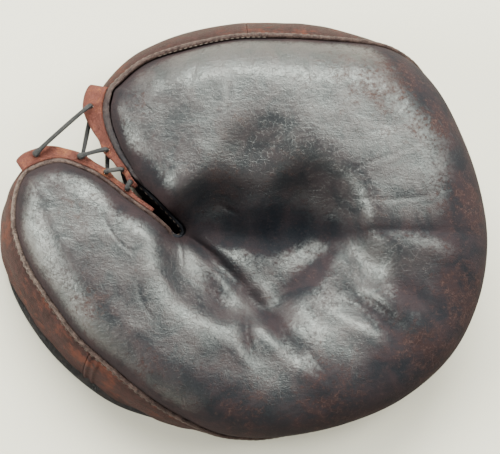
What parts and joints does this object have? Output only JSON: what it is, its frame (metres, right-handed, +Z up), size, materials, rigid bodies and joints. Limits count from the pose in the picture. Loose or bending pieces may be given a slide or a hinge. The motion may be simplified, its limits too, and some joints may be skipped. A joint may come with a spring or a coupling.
{
  "type": "catcher mitt",
  "caption": "Rounded padded leather catching mitt lying on its back, with a deep ball pocket, a thumb lobe joined to the finger lobe by a lace, and a hollow that the hand goes into.",
  "frame": {"origin": "centre of the bounding box in plan, on the surface that the mitt lies on", "axes": "+X along the long side, away from the thumb tip; +Y towards the finger tips; +Z up out of the pocket"},
  "size_m": [0.2959, 0.2603, 0.0808],
  "materials": {
    "face_leather": "dark brown-black, worn and polished",
    "side_leather": "reddish brown, worn",
    "piping_leather": "brown, worn pale along the top",
    "flange_leather": "tan, worn",
    "lace_leather": "dark grey-brown, dry",
    "back_leather": "dark brown",
    "stud_metal": "aged"
  },
  "bodies": {
    "root": {"palm_pad": "face_leather", "side_wall_finger": "side_leather", "side_wall_heel": "side_leather", "side_wall_notch": "side_leather", "welt": "piping_leather", "finger_lacing_flange": "flange_leather", "thumb_lacing_flange": "flange_leather", "lace": "lace_leather", "back_panel": "back_leather", "wrist_strap": "back_leather", "strap_stud": "stud_metal"}
  },
  "joints": []
}
